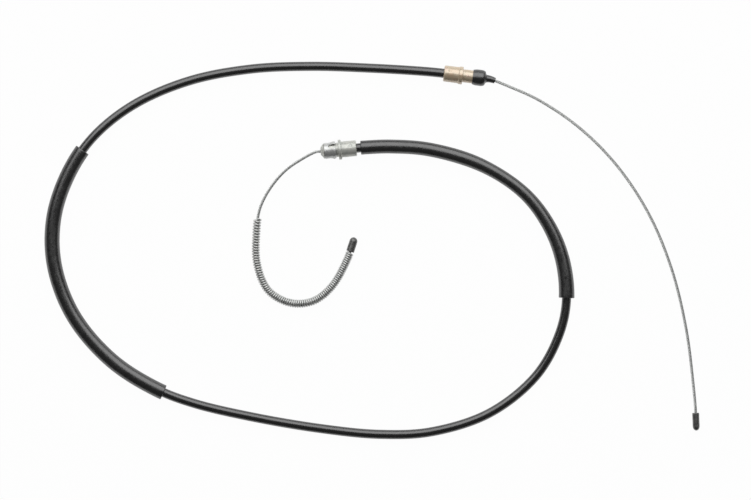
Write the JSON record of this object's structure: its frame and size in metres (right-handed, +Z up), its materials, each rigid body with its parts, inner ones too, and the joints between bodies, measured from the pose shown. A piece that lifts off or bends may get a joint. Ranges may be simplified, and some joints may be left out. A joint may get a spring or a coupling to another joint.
{
  "type": "parking brake cable",
  "caption": "Parking brake cable: wire rope in a covered conduit, with crimped end fittings, dust boot, rubber sleeves, guard spring and cast end buttons.",
  "frame": {"origin": "on the surface that the cable lies on, under the middle of its bounding box", "axes": "+Z up from that surface, +X along the longest side towards the front end button, +Y towards the front conduit fitting"},
  "size_m": [0.7205, 0.415, 0.0223],
  "materials": {
    "galvanised_rope": "satin",
    "spring_steel": "satin",
    "bright_zinc": "satin",
    "yellow_zinc": "satin",
    "cast_zinc": "satin",
    "black_plastic": "satin",
    "black_rubber": "matte",
    "liner_plastic": "satin"
  },
  "bodies": {
    "root": {"front_end_button": "cast_zinc", "inner_wire_rope": "galvanised_rope", "front_dust_boot": "black_rubber", "front_conduit_fitting": "yellow_zinc", "conduit_jacket": "black_plastic", "conduit_wound_wire": "spring_steel", "conduit_liner": "liner_plastic", "front_protective_sleeve": "black_rubber", "rear_protective_sleeve": "black_rubber", "rear_conduit_fitting": "bright_zinc", "rear_prong_retainer": "spring_steel", "guard_spring": "spring_steel", "rear_end_button": "cast_zinc"}
  },
  "joints": []
}
